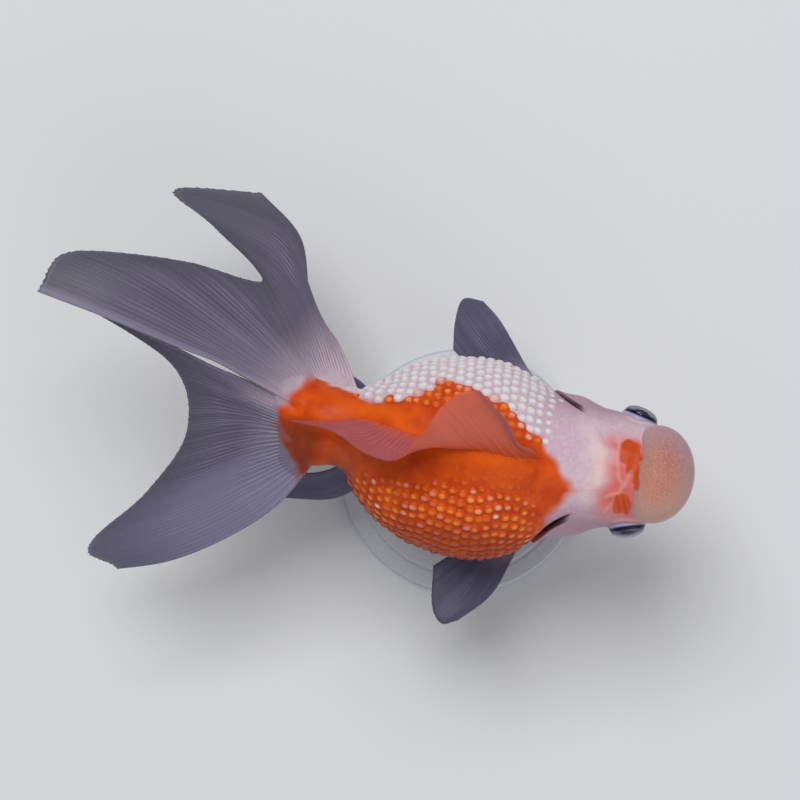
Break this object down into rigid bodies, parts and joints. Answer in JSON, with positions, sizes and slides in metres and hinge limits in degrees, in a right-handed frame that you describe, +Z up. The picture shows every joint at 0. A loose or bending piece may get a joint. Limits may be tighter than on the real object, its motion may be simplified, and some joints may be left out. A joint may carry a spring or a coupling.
{
  "type": "crown pearlscale goldfish model",
  "caption": "Life-size still model of a crown pearlscale goldfish swimming: ball body, bubble crown, twin tail, on a small round stand.",
  "frame": {"origin": "on the floor under the middle of the belly, on the flat underside of the stand's base", "axes": "+X towards the head, +Y towards the fish's left, +Z up"},
  "size_m": [0.1321, 0.0816, 0.0843],
  "materials": {
    "orange_skin": "wet satin skin with raised pearly scales",
    "pale_skin": "wet satin pinkish white skin",
    "crown_skin": "smooth translucent bubble of skin",
    "fin_web": "thin translucent web with fine rays",
    "dorsal_web": "thin translucent pink web with fine rays",
    "eye": "clear glossy cornea over a silvery iris",
    "stand_paint": "plain matte pale grey paint",
    "stand_steel": "fine brushed"
  },
  "bodies": {
    "root": {"trunk": "orange_skin", "tail_stalk": "orange_skin", "head": "pale_skin", "gill_cover_left": "pale_skin", "gill_cover_right": "pale_skin", "crown": "crown_skin", "lips": "pale_skin", "eye_left": "eye", "eye_right": "eye", "dorsal_fin": "dorsal_web", "tail_upper_left": "fin_web", "tail_lower_left": "fin_web", "tail_upper_right": "fin_web", "tail_lower_right": "fin_web", "pectoral_fin_left": "fin_web", "pectoral_fin_right": "fin_web", "pelvic_fin_left": "fin_web", "pelvic_fin_right": "fin_web", "anal_fin_left": "fin_web", "anal_fin_right": "fin_web", "stand_base": "stand_paint", "stand_rod_rear": "stand_steel", "stand_rod_front": "stand_steel"}
  },
  "joints": []
}
